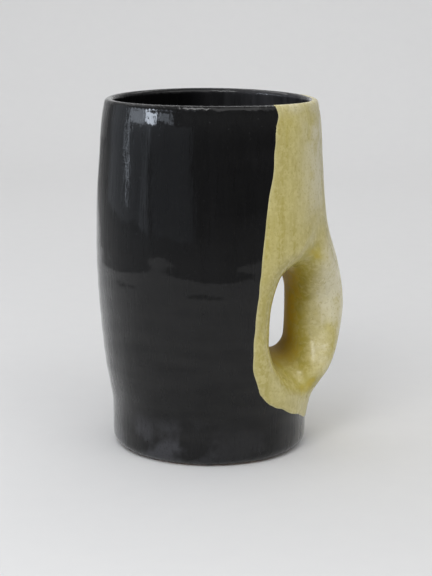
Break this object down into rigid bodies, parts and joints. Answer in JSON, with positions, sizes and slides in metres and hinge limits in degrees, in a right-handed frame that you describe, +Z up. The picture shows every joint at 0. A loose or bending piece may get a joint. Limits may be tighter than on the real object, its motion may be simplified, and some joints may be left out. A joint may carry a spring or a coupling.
{
  "type": "earthenware jug",
  "caption": "Tall glazed earthenware jug with a gently swelling wall, open mouth, and a thick side handle bridging a hollow pressed into the wall.",
  "frame": {"origin": "centre of the flat underside, on the axis of the thrown wall", "axes": "+Z up along the axis of the wall, +X towards the handle"},
  "size_m": [0.1588, 0.1436, 0.22],
  "materials": {
    "bare_clay": "unglazed fired clay, matt, slightly gritty",
    "dry_slip": "fired slip, matt",
    "black_glaze": "glossy black glaze, faintly streaked",
    "yellow_glaze": "glossy mottled olive yellow glaze"
  },
  "bodies": {
    "root": {"floor_slab": "bare_clay", "floor_slip_joint": "dry_slip", "body_wall": "bare_clay", "handle": "bare_clay", "upper_slip_joint": "dry_slip", "lower_slip_joint": "dry_slip", "inner_glaze": "black_glaze", "black_glaze": "black_glaze", "yellow_glaze": "yellow_glaze"}
  },
  "joints": []
}
